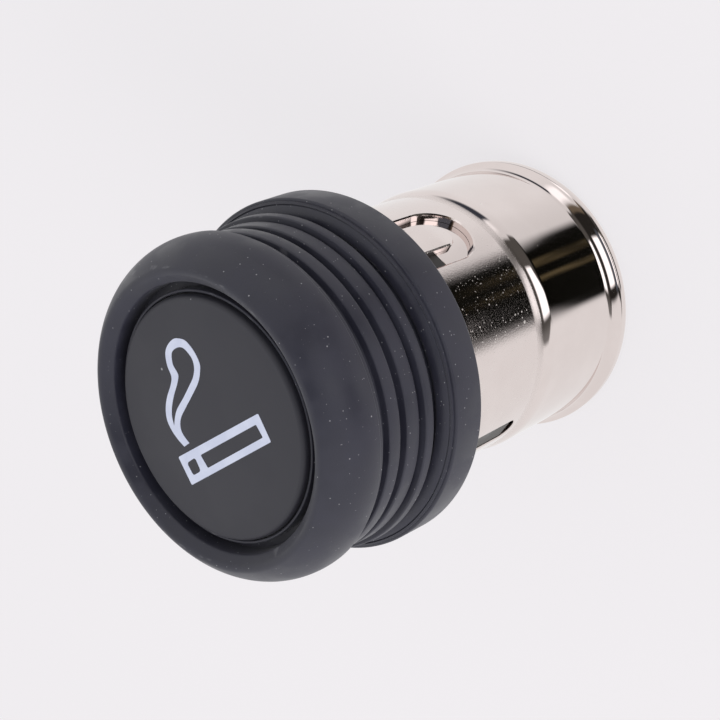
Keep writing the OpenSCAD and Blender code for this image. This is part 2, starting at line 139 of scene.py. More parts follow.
def round_rings(bm, rings, offset, segments=4, near=0.004):
    """Rounds the circular edges that run at or near the given (radius, height) points."""
    bmesh.ops.remove_doubles(bm, verts=bm.verts, dist=1e-7)
    chosen = []
    for edge in bm.edges:
        spots = [(math.hypot(v.co.x, v.co.y) / MM, v.co.z / MM) for v in edge.verts]
        if any(all(abs(r - a) < near and abs(z - b) < near for a, b in spots) for r, z in rings):
            chosen.append(edge)
    bmesh.ops.bevel(bm, geom=chosen, offset=offset * MM, offset_type='OFFSET', affect='EDGES',
                    segments=segments, profile=0.5, material=-1, clamp_overlap=True)


def pull(bm, faces, keep=False):
    """Extrudes faces; the old ones stay only as a closing end."""
    made = bmesh.ops.extrude_face_region(bm, geom=faces)["geom"]
    if not keep:
        bmesh.ops.delete(bm, geom=faces, context='FACES_ONLY')
    return ([part for part in made if isinstance(part, bmesh.types.BMFace)],
            [part for part in made if isinstance(part, bmesh.types.BMVert)])


# Sleeve
def sleeve_outline():
    """The stamped sheet's section, with close points on the neck where the tongues bend."""
    neck_marks = [14.2, 14.6, 15.0, 15.2, 15.4, 15.6, TONGUE_ROOT, 16.0]
    outside = (s_bend(RIM_R, BARREL_R, LAND_TOP, BARREL_Z, FLARE_SHARE)
               + s_bend(BARREL_R, NECK_R, SHOULDER_Z, NECK_Z, SHOULDER_SHARE)
               + [(NECK_R, z) for z in neck_marks] + [(NECK_R, NECK_TOP)])
    inside = ([(NECK_R - SHEET, NECK_TOP)] + [(NECK_R - SHEET, z) for z in reversed(neck_marks)]
              + s_bend(BARREL_R - SHEET, NECK_R - SHEET, SHOULDER_Z, NECK_Z, SHOULDER_SHARE)[::-1]
              + s_bend(RIM_R - SHEET, BARREL_R - SHEET, LAND_TOP, BARREL_Z, FLARE_SHARE)[::-1])
    tilt = math.degrees(math.asin(RIM_FLAT / 2 / RIM_ROLL))
    centre = RIM_R - RIM_ROLL
    return (outside + inside + bend(centre, ROLL_Z, RIM_ROLL - SHEET, 0, -CURL_TURN, 16)
            + bend(centre, ROLL_Z, RIM_ROLL, -CURL_TURN, -90 - tilt, 16)
            + bend(centre, ROLL_Z, RIM_ROLL, -90 + tilt, 0, 14))


def window_cutter(angle, low, outer, inner, lift, top, chamfer):
    """A cutter bent round the neck, U-shaped or plain and round-ended, wider at the surface for a bevel."""
    bm = bmesh.new()
    centre, middle = low + outer, (outer + inner) / 2
    start = [bm.verts.new((-reach, -CUT_DEPTH, centre)) for reach in (inner, outer)]
    first = bm.edges.new(start)
    made = bmesh.ops.spin(bm, geom=start + [first], cent=(0, 0, centre), axis=(0, -1, 0),
                          angle=math.pi, steps=28)
    last = [e for e in made["geom_last"] if isinstance(e, bmesh.types.BMEdge)]
    for v in bm.verts:
        if math.hypot(v.co.x, v.co.z - centre) < middle:
            v.co.z += lift
    legs = bmesh.ops.extrude_edge_only(bm, edges=[first] + last)
    for v in legs["geom"]:
        if isinstance(v, bmesh.types.BMVert):
            v.co.z = top
    bmesh.ops.remove_doubles(bm, verts=bm.verts, dist=1e-5)
    region = list(bm.faces)
    for depth, growth in ((-chamfer, 0), (CUT_REACH, chamfer + CUT_REACH)):
        region, rim = pull(bm, region, keep=growth == 0)
        for v in rim:
            side = Vector((v.co.x, 0, min(v.co.z - centre, 0)))
            outward = 1 if side.length > middle else -1
            # A plain cutter's middle line has no side to grow to
            if side.length > 0.05:
                v.co += side.normalized() * growth * outward
            v.co.y = depth
    bmesh.ops.recalc_face_normals(bm, faces=bm.faces)
    for v in bm.verts:
        turn, reach = math.radians(angle) + v.co.x / NECK_R, NECK_R + v.co.y
        v.co = Vector((reach * math.cos(turn), reach * math.sin(turn), v.co.z)) * MM
    return piece_from(bm, "cutter", None)


def cut(piece, cutters):
    """Cuts the windows through a piece and removes their cutters."""
    for cutter in cutters:
        tool = piece.modifiers.new("cut", 'BOOLEAN')
        tool.operation, tool.solver, tool.object = 'DIFFERENCE', 'EXACT', cutter
    bpy.context.view_layer.update()
    result = bpy.data.meshes.new_from_object(piece.evaluated_get(bpy.context.evaluated_depsgraph_get()))
    piece.modifiers.clear()
    piece.data = result
    for cutter in cutters:
        bpy.data.objects.remove(cutter)


def from_tongue(x, y):
    """Distance round the neck from the nearer tongue's middle."""
    turn = math.atan2(y, x) - math.radians(TONGUE_ANGLE)
    return ((turn + math.pi / 2) % math.pi - math.pi / 2) * NECK_R


def tongue_sink(u, z):
    """How far the tongue is bent in at u across and height z, and the tilt of its surface there."""
    if abs(u) > TONGUE_HALF or z > TONGUE_ROOT or z < TONGUE_TIP:
        return 0.0, 0.0
    slope = math.tan(math.radians(TONGUE_LEAN))
    run = TONGUE_ROOT - z
    ease = min(run / TONGUE_EASE, 1)
    return slope * (run * ease / 2 if ease < 1 else run - TONGUE_EASE / 2), slope * ease


def outline_normals(points, limit=30):
    """The outline's legs, their lengths and sides, and the normals at their ends, shared below the limit."""
    along = np.roll(points, -1, axis=0) - points
    length = np.linalg.norm(along, axis=1)
    side = np.stack([along[:, 1], -along[:, 0]], axis=1) / length[:, None]
    before = np.roll(side, 1, axis=0)
    smooth = np.einsum("ij,ij->i", side, before) > math.cos(math.radians(limit))
    mean = side + before
    mean /= np.linalg.norm(mean, axis=1)[:, None]
    start = np.where(smooth[:, None], mean, side)
    end = np.where(np.roll(smooth, -1)[:, None], np.roll(mean, -1, axis=0), side)
    return along, length, side, start, end


def smooth_walls(corners, walls, limit=32):
    """Shares normals between the faces of the windows' walls that turn by less than the limit."""
    least = math.cos(math.radians(limit))
    for shared in walls.values():
        for loop, direction, _ in shared:
            near = [other * area for _, other, area in shared if other.dot(direction) > least]
            corners[loop] = sum(near, Vector()).normalized() if near else direction


def polish(piece, outline, off_line=0.02, in_line=0.97):
    """Gives turned faces the outline's true normals, so that reflections run smooth past the windows."""
    mesh = piece.data
    points = np.array(outline)
    along, length, side, start, end = outline_normals(points)
    co = np.empty(len(mesh.vertices) * 3)
    mesh.vertices.foreach_get("co", co)
    co = co.reshape(-1, 3) / MM
    flat = np.stack([np.hypot(co[:, 0], co[:, 1]), co[:, 2]], axis=1)
    around = np.stack([co[:, 0], co[:, 1]], axis=1) / flat[:, :1]
    corners, walls = [None] * len(mesh.loops), {}
    for face in mesh.polygons:
        middle = flat[list(face.vertices)].mean(axis=0)
        t = np.clip(np.einsum("ij,ij->i", middle - points, along) / length ** 2, 0, 1)
        gap = np.linalg.norm(points + t[:, None] * along - middle, axis=1)
        k = int(gap.argmin())
        direction = Vector(face.normal)
        radial = Vector((*(around[face.vertices[0]] * side[k][0]), side[k][1]))
        turned_face = gap[k] < off_line and direction.dot(radial) > in_line
        for loop, vertex in zip(face.loop_indices, face.vertices):
            if turned_face:
                s = min(max(float(np.dot(flat[vertex] - points[k], along[k])) / length[k] ** 2, 0), 1)
                n = start[k] * (1 - s) + end[k] * s
                tilt = tongue_sink(from_tongue(*co[vertex][:2]), co[vertex][2])[1]
                corners[loop] = Vector((*(around[vertex] * n[0]), n[1] - tilt * n[0])).normalized()
            else:
                walls.setdefault(vertex, []).append((loop, direction, face.area))
    smooth_walls(corners, walls)
    for vertex in mesh.vertices:
        x, y, z = vertex.co
        share = 1 - tongue_sink(from_tongue(x, y), z / MM)[0] * MM / math.hypot(x, y)
        vertex.co.x *= share
        vertex.co.y *= share
    mesh.polygons.foreach_set("use_smooth", [True] * len(mesh.polygons))
    mesh.normals_split_custom_set(corners)


def outer_sleeve():
    """The stamped sleeve with a lanced tongue and a guide slot on each side of its neck."""
    outline = sleeve_outline()
    sleeve = piece_from(turned(outline), "plated_sleeve", "sleeve")
    tongue = dict(low=NECK_Z + 1.3, outer=2.57, inner=1.25, lift=0.23, top=FLANGE_Z + 0.6,
                  chamfer=TONGUE_BEVEL)
    slot = dict(low=NECK_Z + 0.3, outer=0.95, inner=0, lift=0, top=NECK_TOP + 0.5,
                chamfer=SLOT_BEVEL)
    cutters = []
    for half in (0, 180):
        cutters.append(window_cutter(TONGUE_ANGLE + half, **tongue))
        cutters.append(window_cutter(SLOT_ANGLE + half, **slot))
    cut(sleeve, cutters)
    polish(sleeve, outline)
    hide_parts("outer_sleeve")
    return sleeve


# Knob
def nose_outline():
    """The nose from the rib zone's top: a short land, the roll, the inner lip and the recess's wall."""
    edge = math.degrees(math.asin((NOSE_BACK - NOSE_CENTRE[1]) / NOSE_ROLL))
    reach, way = NOSE_ROLL - LIP_R, math.radians(LIP_MEET)
    lip = (NOSE_CENTRE[0] + reach * math.cos(way), NOSE_CENTRE[1] + reach * math.sin(way))
    foot = (RECESS_R + FOOT_R, RECESS_R + FOOT_R - lip[0] + lip[1] + (LIP_R - FOOT_R) * math.sqrt(2))
    return ([(GROOVE_R, RIB_ZONE_TOP), (LAND_R, RIB_ZONE_TOP), (LAND_R, NOSE_BACK)]
            + bend(*NOSE_CENTRE, NOSE_ROLL, edge, LIP_MEET, 40)
            + bend(*lip, LIP_R, LIP_MEET, 135, 12)[1:] + bend(*foot, FOOT_R, 135, 180, 6))


def knob_grip():
    """The soft grip, turned from one outline: stepped flange, ribs, nose, recess round the cap, and bore."""
    step_r, groove_z = FLANGE_R - 0.28, RIB_ZONE_LOW - 0.25
    rim = [(FLANGE_R, FLANGE_Z), (FLANGE_R - DRAFT, FLANGE_TOP)]
    shelf = [(GROOVE_R + 0.45, RIB_ZONE_LOW + 0.02), (GROOVE_R + 0.3, groove_z)]
    flange = [(BORE_R, FLANGE_Z), *rim, (step_r + 0.02, FLANGE_TOP), (step_r, FLANGE_TOP + 0.13),
              (step_r - 0.14, FLANGE_TOP + 0.2), (step_r - 0.2, FLANGE_TOP + 0.15),
              (step_r - 0.3, FLANGE_TOP + 0.27), (step_r - 0.75, FLANGE_TOP + 0.4), *shelf,
              (GROOVE_R, groove_z)]
    body, crests, roots = [], [], []
    for drop, height, r in reversed(RIBS):
        top = RIB_ZONE_TOP - drop
        crest, root = [(r, top - height), (r - DRAFT, top)], [(GROOVE_R, top - height), (GROOVE_R, top)]
        body += [root[0], *crest, root[1]]
        crests += crest
        roots += root
    nose = nose_outline()
    ridge = [(RIDGE_OUT, RIDGE_TOP), (RIDGE_IN, RIDGE_TOP)]
    inside = [(RECESS_R, RECESS_FLOOR), (RIDGE_OUT, RECESS_FLOOR), *ridge, (RIDGE_IN, SLIT_FLOOR),
              (CAP_R + FIT, SLIT_FLOOR), (CAP_R + FIT, WEB_TOP), (STUD_R + FIT, WEB_TOP),
              (STUD_R + FIT, WEB_Z), (BORE_R, WEB_Z)]
    bm = turned(flange + body + nose + inside)
    round_rings(bm, crests, 0.13)
    round_rings(bm, roots, 0.1, 3)
    round_rings(bm, [(GROOVE_R, RIB_ZONE_TOP), (GROOVE_R, groove_z)], 0.15, 3)
    round_rings(bm, rim, 0.16)
    round_rings(bm, shelf, 0.1, 3)
    round_rings(bm, [nose[3], (LAND_R, RIB_ZONE_TOP)], 0.09, 3)
    round_rings(bm, ridge, 0.08, 3)
    grip = piece_from(bm, "soft_grip", "knob", 50)
    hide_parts("knob_grip")
    return grip


def knob_cap():
    """The round cap, a shallow lid."""
    wall = CAP_R - CAP_WALL
    bm = turned([(0, FACE_Z), (CAP_R, FACE_Z), (CAP_R, WEB_TOP), (wall, WEB_TOP), (wall, CAP_UNDER),
                 (0, CAP_UNDER)], closed=False)
    round_rings(bm, [(CAP_R, FACE_Z)], CAP_CORNER, 7)
    cap = piece_from(bm, "cap_disc", "knob")
    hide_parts("knob_cap")
    return cap


def softened(points, steps=8):
    """A smooth open line through the points."""
    line, n = [], len(points)
    for i in range(n - 1):
        p = [Vector(points[min(max(k, 0), n - 1)]) for k in (i - 1, i, i + 1, i + 2)]
        for s in range(steps):
            t = s / steps
            line.append(0.5 * (2 * p[1] + (p[2] - p[0]) * t + (2 * p[0] - 5 * p[1] + 4 * p[2] - p[3]) * t ** 2
                               + (3 * p[1] - p[0] - 3 * p[2] + p[3]) * t ** 3))
    return line + [Vector(points[-1])]


def eased_corners(points, radius, steps=5):
    """A closed outline with its corners rounded."""
    line = []
    for i, point in enumerate(points):
        p = Vector(point)
        back, ahead = Vector(points[i - 1]) - p, Vector(points[(i + 1) % len(points)]) - p
        a, b = p + back.normalized() * radius, p + ahead.normalized() * radius
        for s in range(steps + 1):
            t = s / steps
            line.append(a * (1 - t) ** 2 + p * 2 * t * (1 - t) + b * t ** 2)
    return line


def printed(name, outlines):
    """A thin print on the cap's face, from flat outlines and their holes."""
    curve = bpy.data.curves.new(name, 'CURVE')
    curve.dimensions, curve.fill_mode, curve.extrude = '2D', 'BOTH', PRINT_HEIGHT / 2 * MM
    for outline in outlines:
        line = curve.splines.new('POLY')
        line.points.add(len(outline) - 1)
        for point, spot in zip(line.points, outline):
            point.co = (spot[0] * MM, spot[1] * MM, 0, 1)
        line.use_cyclic_u = True
    holder = bpy.data.objects.new(name, curve)
    bpy.context.scene.collection.objects.link(holder)
    bpy.context.view_layer.update()
    mesh = bpy.data.meshes.new_from_object(holder.evaluated_get(bpy.context.evaluated_depsgraph_get()))
    bpy.data.objects.remove(holder)
    bm = bmesh.new()
    bm.from_mesh(mesh)
    bmesh.ops.translate(bm, verts=bm.verts, vec=(0, 0, (FACE_Z + PRINT_HEIGHT / 2) * MM))
    print_piece = piece_from(bm, name, "knob")
    return print_piece


def cap_symbol():
    """The cigarette with its two windows and the curl of smoke, in millimetres from the cap's middle."""
    body = [(-1.386, 4.306), (-0.773, -4.603), (-2.657, -4.675), (-3.39, 4.153)]
    long_window = [(-1.798, 2.113), (-1.34, -4.035), (-2.228, -4.159), (-2.741, 1.929)]
    small_window = [(-1.951, 3.728), (-1.814, 2.735), (-2.758, 2.712), (-2.853, 3.615)]
    smoke = [(-0.91, 3.3), (-0.33, 3.61), (0.38, 3.84), (1.11, 3.86), (1.82, 3.52), (2.45, 2.92),
             (3.02, 2.13), (3.5, 1.7), (4.21, 1.65), (4.86, 1.42), (5.23, 1.09), (5.47, 0.6), (5.57, 0.03),
             (5.47, -0.41), (5.19, -0.92), (4.71, -1.21), (4.12, -1.37), (3.5, -1.38), (3.07, -1.15),
             (2.47, -0.55), (1.91, 0.46), (1.33, 1.62), (0.88, 2.45), (0.36, 2.88), (-0.18, 2.93),
             (-0.82, 2.68)]
    inside = [(0.55, 3.43), (1.11, 3.29), (1.66, 2.95), (2.28, 2.32), (2.91, 1.49), (3.32, 1.06), (3.6, 1.0),
              (4.13, 1.09), (4.69, 0.87), (4.94, 0.53), (4.97, -0.07), (4.78, -0.51), (4.35, -0.77),
              (3.88, -0.89), (3.35, -0.72), (2.87, -0.26), (2.46, 0.47), (1.95, 1.45), (1.51, 2.4),
              (1.1, 2.95)]
    return [printed("cigarette_print", [eased_corners(body, 0.12), eased_corners(long_window, 0.1),
                                        eased_corners(small_window, 0.22)]),
            printed("smoke_print", [softened(smoke), softened(inside + inside[:1])[:-1]])]


# Pieces inside the sleeve
def spring_cup():
    """The drawn cup behind the windows, turned smooth so that it mirrors their walls."""
    outer, base = NECK_R - SHEET - FIT, SHOULDER_Z + 0.9
    inner, floor, collar = outer - CUP_SHEET, base + CUP_SHEET, COLLAR_R + CUP_SHEET
    rim, collar_top = base + CUP_HEIGHT, base + COLLAR_HEIGHT
    outline = ([(COLLAR_R, base)] + bend(outer - CUP_CORNER, base + CUP_CORNER, CUP_CORNER, -90, 0, 12)
               + [(outer, rim), (inner, rim), (inner, floor), (collar, floor),
                  (collar, collar_top), (COLLAR_R, collar_top)])
    bm = turned(outline)
    round_rings(bm, [(outer, rim), (inner, rim)], 0.1)
    cup = piece_from(bm, "drawn_cup", "sleeve")
    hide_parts("spring_cup")
    return cup


def guide_bush():
    """The moulded bush, with the faces of its two legs flush in the sleeve's slots."""
    bm = bmesh.new()
    bm.from_mesh(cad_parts["guide_bush"].data)
    bmesh.ops.remove_doubles(bm, verts=bm.verts, dist=1e-6)
    for v in bm.verts:
        reach = math.hypot(v.co.x, v.co.y) / MM
        if reach > BUSH_FACE_R:
            v.co.x *= BUSH_FACE_R / reach
            v.co.y *= BUSH_FACE_R / reach
    bush = piece_from(bm, "flush_bush", "sleeve")
    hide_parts("guide_bush")
    return bush


def pop_spring():
    """The round wire spring, with its last part turn closed at each end."""
    close, sides, steps = 0.75, 20, 48
    free = SPRING_TOP - SPRING_LOW - 2 * WIRE_R - 4 * close * WIRE_R
    bm = bmesh.new()
    section = bmesh.ops.create_circle(bm, cap_ends=True, segments=sides, radius=WIRE_R)["verts"]
    for v in section:
        v.co = Vector((SPRING_R + v.co.x, 0, v.co.y))
    geom = list(bm.faces)
    for i in range(SPRING_TURNS * steps):
        geom, ring = pull(bm, geom, keep=i == 0)
        rise = spring_height((i + 1) / steps, close, free) - spring_height(i / steps, close, free)
        bmesh.ops.rotate(bm, verts=ring, cent=(0, 0, 0), matrix=Matrix.Rotation(math.tau / steps, 3, 'Z'))
        bmesh.ops.translate(bm, verts=ring, vec=(0, 0, rise))
    for v in bm.verts:
        v.co = Vector((v.co.x, v.co.y, v.co.z + SPRING_LOW + WIRE_R)) * MM
    spring = piece_from(bm, "wire_spring", "sleeve", 60)
    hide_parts("pop_spring")
    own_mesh(spring)
    return spring


def spring_height(turn, close, free):
    """The wire's rise after so many turns: closed, open, closed again."""
    end = SPRING_TURNS - close
    share = min(max((turn - close) / (end - close), 0), 1)
    return 2 * WIRE_R * (min(turn, close) + max(0, turn - end)) + free * share


def heating_coil():
    """A flat ribbon wound from the pin out to the cup's wall."""
    bm = bmesh.new()
    steps = 96
    count = COIL_TURNS * steps
    turn, step = Matrix.Rotation(math.tau / steps, 3, 'Z'), (COIL_OUT - COIL_IN) / count
    low, high = COIL_Z, COIL_Z + RIBBON_H
    section = [bm.verts.new((COIL_IN + side * RIBBON_T / 2, 0, z))
               for side, z in ((-1, low), (1, low), (1, high), (-1, high))]
    geom = [bm.faces.new(section)]
    for i in range(count):
        geom, ring = pull(bm, geom, keep=i == 0)
        for v in ring:
            flat = Vector((v.co.x, v.co.y, 0))
            v.co = turn @ (v.co + flat.normalized() * step)
    for v in bm.verts:
        v.co *= MM
    coil = piece_from(bm, "ribbon_coil", "knob", 40)
    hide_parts("heating_coil")
    return coil


# Materials
class Graph:
    """Short calls that add nodes to a material, group or world."""

    def __init__(self, tree):
        self.tree = tree

    def node(self, kind, values=None, **settings):
        """Adds a node; a value that is a socket is linked, any other is set."""
        made = self.tree.nodes.new(kind)
        for key, value in settings.items():
            setattr(made, key, value)
        for key, value in (values or {}).items():
            if isinstance(value, bpy.types.NodeSocket):
                self.tree.links.new(value, made.inputs[key])
            else:
                made.inputs[key].default_value = value
        return made

    def group(self, tree, **values):
        """Places a shared group with its own values."""
        named = {key.title(): value for key, value in values.items()}
        return self.node('ShaderNodeGroup', named, node_tree=tree).outputs

    def math(self, operation, *values, clamp=False):
        """One step of arithmetic."""
        made = self.node('ShaderNodeMath', dict(enumerate(values)), operation=operation, use_clamp=clamp)
        return made.outputs[0]

    def times(self, a, b, clamp=False):
        return self.math('MULTIPLY', a, b, clamp=clamp)

    def plus(self, a, b, clamp=False):
        return self.math('ADD', a, b, clamp=clamp)

    def minus(self, a, b, clamp=False):
        return self.math('SUBTRACT', a, b, clamp=clamp)

    def ramp(self, value, low, high, out_low=0.0, out_high=1.0):
        """A smooth step of value from low to high."""
        return self.node('ShaderNodeMapRange', {"Value": value, 1: low, 2: high, 3: out_low, 4: out_high},
                         interpolation_type='SMOOTHSTEP').outputs[0]

    def band(self, value, low, high, soft_low=2.0, soft_high=2.0):
        """One between low and high, with soft ends."""
        return self.times(self.ramp(value, low - soft_low, low + soft_low),
                          self.ramp(value, high - soft_high, high + soft_high, 1.0, 0.0))

    def mix(self, factor, a, b):
        """Colour a where the factor is 0, colour b where it is 1."""
        made = self.node('ShaderNodeMix', data_type='RGBA')
        for key, value in ((0, factor), (6, a), (7, b)):
            if isinstance(value, bpy.types.NodeSocket):
                self.tree.links.new(value, made.inputs[key])
            else:
                made.inputs[key].default_value = value if key == 0 else (*value, 1)
        return made.outputs[2]


def effect(name, inputs, outputs):
    """Starts a shared node group with float inputs and outputs."""
    group = bpy.data.node_groups.new(name, 'ShaderNodeTree')
    for label, value in inputs.items():
        given = group.interface.new_socket(name=label, in_out='INPUT', socket_type='NodeSocketFloat')
        given.default_value = value
    for label in outputs:
        group.interface.new_socket(name=label, in_out='OUTPUT', socket_type='NodeSocketFloat')
    graph = Graph(group)
    return group, graph, graph.node('NodeGroupInput').outputs, graph.node('NodeGroupOutput').inputs


def dust_effect():
    """Sparse bright specks of uneven size, for Base Color and Roughness."""
    group, g, given, out = effect("dust specks", {"Spacing": 1.0, "Size": 0.12, "Share": 0.3}, ["Mask"])
    place = g.node('ShaderNodeTexCoord').outputs["Object"]
    scale = g.math('DIVIDE', 1000.0, given["Spacing"])
    cells = g.node('ShaderNodeTexVoronoi', {"Vector": place, "Scale": scale, "Randomness": 1.0}, feature='F1')
    pick = g.node('ShaderNodeSeparateColor', {"Color": cells.outputs["Color"]}).outputs
    size = g.times(given["Size"], g.plus(0.35, g.math('POWER', pick[0], 3.0)))
    speck = g.minus(1.0, g.math('DIVIDE', cells.outputs["Distance"], size), clamp=True)
    kept = g.math('LESS_THAN', pick[1], given["Share"])
    group.links.new(g.times(g.math('POWER', speck, 0.6), kept), out["Mask"])
    return group


def grain_effect():
    """Fine and coarse grain as a height, and a slow mottle as a mask."""
    group, g, given, out = effect("fine grain", {"Grain": 0.1, "Patch": 4.0}, ["Height", "Mottle"])
    place = g.node('ShaderNodeTexCoord').outputs["Object"]

    def noise(size, detail):
        values = {"Vector": place, "Scale": g.math('DIVIDE', 1000.0, size), "Detail": detail}
        return g.node('ShaderNodeTexNoise', values).outputs[0]

    group.links.new(noise(given["Grain"], 2.0), out["Height"])
    group.links.new(g.ramp(noise(given["Patch"], 3.0), 0.35, 0.65), out["Mottle"])
    return group


def finish_of(name, metallic=0.0, **constants):
    """A material with its Principled shader, ready for its nodes."""
    material = bpy.data.materials.new(name)
    material.use_nodes = True
    shader = material.node_tree.nodes["Principled BSDF"]
    shader.inputs["Metallic"].default_value = metallic
    for key, value in constants.items():
        shader.inputs[key.replace("_", " ").title()].default_value = value
    return material, Graph(material.node_tree), shader.inputs


def grained(name, dark, light, rough, grain=0.1, patch=4.0, bump=0.1, bump_mm=0.01, dust=None, metallic=0.0,
            edges=False, **constants):
    """Moulded, plated or turned stuff: mottled colour and roughness, fine grain, a little dust, and where
    asked pale edges that are partly dust and partly a painted highlight.
    """
    material, g, shader = finish_of(name, metallic, **constants)
    fine = g.group(GRAIN, grain=grain, patch=patch)
    colour = g.mix(fine["Mottle"], dark, light)
    if dust:
        colour = g.mix(g.group(DUST, **dust)["Mask"], colour, (0.42, 0.42, 0.44))
    # Pale edges: partly dust, partly a painted highlight along the moulded edges
    if edges:
        colour = dust_and_edge_highlight(g, colour)
    relief = g.node('ShaderNodeBump', {"Height": fine["Height"], "Strength": bump, "Distance": bump_mm * MM})
    g.tree.links.new(colour, shader["Base Color"])
    g.tree.links.new(g.ramp(fine["Mottle"], 0.0, 1.0, *rough), shader["Roughness"])
    g.tree.links.new(relief.outputs[0], shader["Normal"])
    return material


def dust_and_edge_highlight(g, colour):
    """Pale colour along the moulded edges: partly dust, partly a painted highlight that lightens the edges.
    """
    edge = g.ramp(g.node('ShaderNodeNewGeometry').outputs["Pointiness"], 0.53, 0.64)
    place = g.node('ShaderNodeTexCoord').outputs["Object"]
    patchy = g.node('ShaderNodeTexNoise', {"Vector": place, "Scale": 1400.0, "Detail": 3.0}).outputs[0]
    mask = g.times(edge, g.ramp(patchy, 0.4, 0.62))
    # Mixes in the pale colour: dust and painted edge highlight together
    return g.mix(g.times(mask, 0.5), colour, (0.14, 0.14, 0.155))


def nickel_plating():
    """Mirror plate, with a faint draw grain and sparkle outside the neck and a duller shoulder hollow."""
    material, g, shader = finish_of("nickel", 1.0)
    links = g.tree.links
    place = g.node('ShaderNodeTexCoord').outputs["Object"]
    x, y, height = g.node('ShaderNodeSeparateXYZ', {"Vector": place}).outputs
    reach = g.math('SQRT', g.plus(g.times(x, x), g.times(y, y)))
    neck = g.times(g.ramp(height, (SHOULDER_Z + 0.6) * MM, (NECK_Z + 0.2) * MM),
                   g.ramp(reach, (NECK_R - 0.3) * MM, (NECK_R - 0.12) * MM))
    sparkle = g.group(DUST, spacing=0.19, size=0.3, share=0.6)["Mask"]
    stray = g.group(DUST, spacing=1.1, size=0.1, share=0.5)["Mask"]
    mask = g.math('MAXIMUM', g.times(sparkle, neck), stray)
    fine = g.group(GRAIN, grain=0.12, patch=3.0)
    colour = g.mix(fine["Mottle"], (0.765, 0.68, 0.655), (0.79, 0.705, 0.68))
    hollow = g.band(height, (NECK_Z - 0.62) * MM, (NECK_Z - 0.02) * MM, 0.12 * MM, 0.1 * MM)
    rough = g.plus(g.plus(g.times(neck, 0.03), g.times(hollow, 0.22)), 0.05)
    relief = g.node('ShaderNodeBump', {"Height": fine["Height"], "Strength": g.times(neck, 0.6),
                                       "Distance": 0.007 * MM})
    links.new(g.mix(mask, colour, (0.85, 0.8, 0.75)), shader["Base Color"])
    links.new(g.plus(rough, g.times(mask, 0.4)), shader["Roughness"])
    links.new(relief.outputs[0], shader["Normal"])
    return material


def dress():
    """Puts a finish on every CAD node that shows and returns the finishes for the new pieces."""
    finishes = {
        "nickel": nickel_plating(),
        "soft_black": grained("soft black", (0.0205, 0.0205, 0.033), (0.0275, 0.0275, 0.042), (0.42, 0.54),
                              grain=0.12, patch=2.4, bump=0.35, bump_mm=0.013, edges=True,
                              dust=dict(spacing=0.25, size=0.16, share=0.45),
                              sheen_weight=0.1, sheen_roughness=0.4),
        "cap_black": grained("cap black", (0.0235, 0.023, 0.032), (0.0275, 0.027, 0.036), (0.5, 0.58),
                             grain=0.1, patch=4.0, bump=0.35, bump_mm=0.012,
                             dust=dict(spacing=1.1, size=0.1, share=0.3),
                             sheen_weight=0.05, sheen_roughness=0.4),
        "cap_print": grained("cap print", (0.62, 0.66, 0.82), (0.68, 0.72, 0.87), (0.5, 0.6),
                             grain=0.12, patch=1.2, bump=0.2),
        "bush_black": grained("bush black", (0.012, 0.009, 0.007), (0.018, 0.013, 0.01), (0.3, 0.42),
                              grain=0.1, patch=3.0, bump=0.2),
        "hub_black": grained("hub black", (0.022, 0.02, 0.019), (0.032, 0.029, 0.027), (0.55, 0.7),
                             grain=0.15, patch=1.5, bump=0.3),
        "fibre": grained("fibre", (0.17, 0.07, 0.03), (0.25, 0.11, 0.05), (0.75, 0.9),
                         grain=0.1, patch=0.8, bump=0.5),
        "spring_steel": grained("spring steel", (0.32, 0.31, 0.3), (0.42, 0.41, 0.4), (0.25, 0.38),
                                grain=0.08, patch=0.9, bump=0.2, metallic=1.0),
        "brass": grained("brass", (0.72, 0.5, 0.22), (0.8, 0.58, 0.27), (0.25, 0.4),
                         grain=0.1, patch=1.0, bump=0.2, metallic=1.0),
        "zinc_steel": grained("zinc steel", (0.58, 0.59, 0.6), (0.68, 0.68, 0.69), (0.28, 0.42),
                              grain=0.12, patch=0.8, bump=0.3, metallic=1.0),
        "heater_steel": grained("heater steel", (0.5, 0.48, 0.45), (0.62, 0.59, 0.55), (0.22, 0.35),
                                grain=0.15, patch=1.4, bump=0.25, metallic=1.0),
        "mica": grained("mica", (0.45, 0.33, 0.18), (0.58, 0.45, 0.27), (0.3, 0.5),
                        grain=0.3, patch=0.6, bump=0.4),
        "ceramic": grained("ceramic", (0.72, 0.68, 0.6), (0.8, 0.77, 0.7), (0.5, 0.65),
                           grain=0.15, patch=1.2, bump=0.3),
        "coil_alloy": grained("coil alloy", (0.2, 0.18, 0.17), (0.33, 0.28, 0.25), (0.45, 0.65),
                              grain=0.1, patch=0.7, bump=0.4, metallic=0.8),
    }
    wearers = {
        "nickel": ["outer_sleeve", "spring_cup"], "soft_black": ["knob_grip"], "cap_black": ["knob_cap"],
        "bush_black": ["guide_bush"], "hub_black": ["knob_hub"], "fibre": ["fibre_washer"],
        "spring_steel": ["pop_spring", "lock_washer"], "brass": ["hub_insert"],
        "zinc_steel": ["stud", "spacer_tube", "hub_nut", "spring_seat", "stop_washer", "clamp_washer"],
        "heater_steel": ["heater_cup"], "mica": ["upper_mica", "lower_mica"],
        "ceramic": ["ceramic_insulator"], "coil_alloy": ["heating_coil"],
    }
    for finish, names in wearers.items():
        for name in names:
            wear(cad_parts[name], finishes[finish])
    return finishes


def wear(piece, finish):
    """Gives a piece its one material."""
    piece.data.materials.clear()
    piece.data.materials.append(finish)


